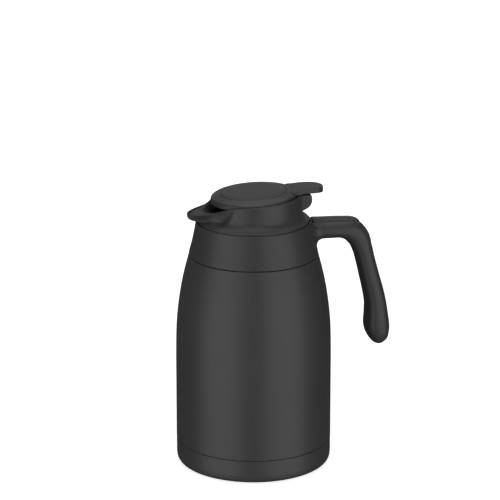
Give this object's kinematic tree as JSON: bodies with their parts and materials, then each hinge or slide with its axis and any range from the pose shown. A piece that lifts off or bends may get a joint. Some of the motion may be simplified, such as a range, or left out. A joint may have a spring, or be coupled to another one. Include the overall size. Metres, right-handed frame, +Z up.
{
  "type": "vacuum carafe",
  "caption": "Double-walled vacuum carafe with a moulded collar and open handle, and a lift-out stopper with a beak spout, a lever lid and a sprung valve.",
  "frame": {"origin": "under the middle of the base, on the plane the carafe stands on and on the body's axis", "axes": "+Z up along the body's axis, +X from the axis towards the handle, the spout at -X"},
  "size_m": [0.1724, 0.124, 0.2263],
  "materials": {
    "coated_steel": "fine matte charcoal coating on steel",
    "casing": "moulded charcoal plastic with a fine satin grain",
    "bare_steel": "satin stainless steel",
    "foil": "thin bright reflector foil",
    "inner_plastic": "food-safe black plastic, satin",
    "silicone": "soft grey silicone",
    "foam": "pale rigid insulating foam",
    "rubber": "black non-slip rubber"
  },
  "bodies": {
    "pot": {"outer_shell": "coated_steel", "inner_liner": "bare_steel", "reflector_foil": "foil", "getter_pellet": "bare_steel", "vacuum_seal": "bare_steel", "base_cup": "coated_steel", "base_pad": "rubber", "collar_handle": "casing", "arm_top_cover": "casing", "grip_back_cover": "casing", "handle_screw_1": "bare_steel", "handle_screw_2": "bare_steel", "neck_washer": "bare_steel", "neck_gasket": "silicone", "bayonet_ring": "inner_plastic"},
    "plug_seal": {"stopper_gasket": "silicone"},
    "stopper": {"stopper_housing": "casing", "stopper_plug": "inner_plastic", "plug_insulation": "foam", "plug_bottom_cover": "inner_plastic", "housing_seal": "silicone", "valve_bridge": "inner_plastic", "hinge_pin": "bare_steel", "valve_spring": "bare_steel"},
    "valve": {"valve_stem": "bare_steel", "valve_disc": "inner_plastic", "valve_gasket": "silicone"},
    "lid": {"lever_base": "casing", "lever_cap": "casing", "lifter_yoke": "inner_plastic", "yoke_screw": "bare_steel"}
  },
  "joints": [
    {"name": "stopper_lift", "type": "slide", "parent": "pot", "child": "plug_seal", "axis": [0, 0, 1], "range_m": [0, 0.08]},
    {"name": "stopper_turn", "type": "hinge", "parent": "plug_seal", "child": "stopper", "pos_m": [0, 0, 0.19], "axis": [0, 0, 1], "range_deg": [0, 60]},
    {"name": "lid_lever", "type": "hinge", "parent": "stopper", "child": "lid", "pos_m": [0.042, 0, 0.217], "axis": [0, 1, 0], "range_deg": [0, 12], "stiffness_Nm_per_rad": 0.4, "springref_deg": -11.46},
    {"name": "valve_lift", "type": "slide", "parent": "stopper", "child": "valve", "axis": [0, 0, 1], "range_m": [0, 0.009], "deforming": ["valve_spring"]}
  ],
  "couplings": [
    {"joint": "valve_lift", "follows": "lid_lever", "m_per_rad": 0.042}
  ]
}
